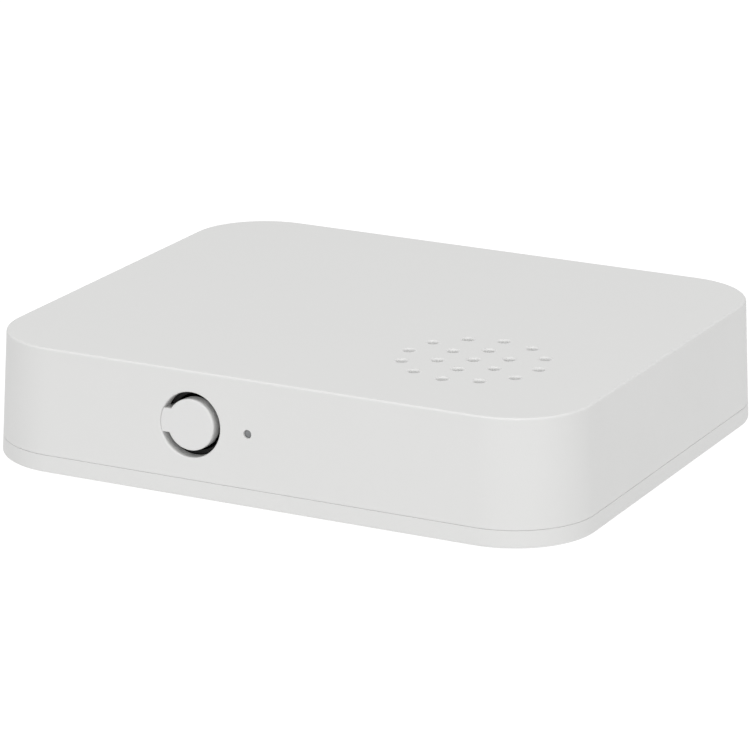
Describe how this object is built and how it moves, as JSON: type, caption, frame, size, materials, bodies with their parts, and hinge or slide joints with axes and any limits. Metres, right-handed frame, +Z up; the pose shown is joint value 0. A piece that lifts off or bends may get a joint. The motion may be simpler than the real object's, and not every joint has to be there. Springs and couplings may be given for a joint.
{
  "type": "smart home hub",
  "caption": "Low white smart home hub with rounded corners, a hinged push button and status light on the front, a loudspeaker under a hole pattern in the top, and sockets on the back.",
  "frame": {"origin": "middle of the footprint, on the surface that the feet stand on", "axes": "+X to the right and +Z up when seen from the front; the front, with the button, faces -Y"},
  "size_m": [0.14, 0.1194, 0.0287],
  "materials": {
    "casing_white": "fine-textured matte white",
    "button_white": "fine-textured matte white",
    "black_plastic": "moulded, matte black",
    "grey_rubber": "matte dark grey, slightly tacky",
    "zinc_steel": "zinc plated",
    "nickel_plate": "nickel plated, satin",
    "board_green": "glass-fibre board with green solder mask",
    "chip_black": "moulded package",
    "clear_plastic": "clear, polished ends",
    "led_package": "white package, pale yellow lens",
    "black_foam": "thin open-cell foam",
    "paper_cone": "pressed paper",
    "copper_wire": "bare copper",
    "ferrite": "sintered, dull dark grey",
    "black_aluminium": "black anodised",
    "white_nylon": "natural nylon",
    "cell_wrap": "plain blue film over the cell's metal can",
    "lead_red": "red insulation"
  },
  "bodies": {
    "casing": {"base_plate": "casing_white", "battery_cell": "cell_wrap", "battery_connector": "white_nylon", "battery_contact_front": "nickel_plate", "battery_contact_rear": "nickel_plate", "battery_holder": "black_plastic", "battery_lead": "lead_red", "board_screw_1": "zinc_steel", "board_screw_2": "zinc_steel", "board_screw_3": "zinc_steel", "board_screw_4": "zinc_steel", "button_bracket": "black_plastic", "button_hinge_pin": "zinc_steel", "case_screw_front_left": "zinc_steel", "case_screw_front_right": "zinc_steel", "case_screw_rear_left": "zinc_steel", "case_screw_rear_right": "zinc_steel", "dc_jack_body": "black_plastic", "dc_jack_pin": "nickel_plate", "ethernet_jack_insert": "black_plastic", "ethernet_jack_shell": "nickel_plate", "ethernet_transformer": "chip_black", "filter_capacitor": "black_aluminium", "foot_front_left": "grey_rubber", "foot_front_right": "grey_rubber", "foot_rear_left": "grey_rubber", "foot_rear_right": "grey_rubber", "front_switch_body": "black_plastic", "heatsink": "black_aluminium", "helical_antenna": "copper_wire", "light_pipe": "clear_plastic", "main_board": "board_green", "memory_chip": "chip_black", "power_inductor": "ferrite", "processor_chip": "chip_black", "radio_module": "board_green", "radio_shield_can": "nickel_plate", "reset_switch_body": "black_plastic", "speaker_basket": "zinc_steel", "speaker_connector": "white_nylon", "speaker_dust_screen": "black_foam", "speaker_front_plate": "zinc_steel", "speaker_gasket": "black_foam", "speaker_lead": "lead_red", "speaker_magnet": "ferrite", "speaker_screw_1": "zinc_steel", "speaker_screw_2": "zinc_steel", "speaker_screw_3": "zinc_steel", "speaker_yoke": "zinc_steel", "status_led": "led_package", "top_cover": "casing_white", "usb_jack_shell": "nickel_plate", "usb_jack_tongue": "white_nylon"},
    "button": {"front_button": "button_white"},
    "front_plunger": {"front_switch_plunger": "white_nylon"},
    "reset_plunger": {"reset_switch_plunger": "white_nylon"},
    "speaker_moving": {"speaker_cone": "paper_cone", "speaker_surround": "grey_rubber", "voice_coil": "copper_wire"}
  },
  "joints": [
    {"name": "button_press", "type": "hinge", "parent": "casing", "child": "button", "pos_m": [-0.0255, -0.05358, 0.01659], "axis": [0, 0.0489, 0.9988], "range_deg": [0, 3], "stiffness_Nm_per_rad": 0.05},
    {"name": "front_switch_press", "type": "slide", "parent": "casing", "child": "front_plunger", "axis": [0, 1, 0], "range_m": [0, 0.00055]},
    {"name": "reset_press", "type": "slide", "parent": "casing", "child": "reset_plunger", "axis": [0, -1, 0], "range_m": [0, 0.0004], "stiffness_N_per_m": 500},
    {"name": "cone_travel", "type": "slide", "parent": "casing", "child": "speaker_moving", "axis": [0, 0, 1], "range_m": [-0.0004, 0.0004], "stiffness_N_per_m": 1500}
  ],
  "couplings": [
    {"joint": "front_switch_press", "follows": "button_press", "m_per_rad": 0.0099}
  ]
}
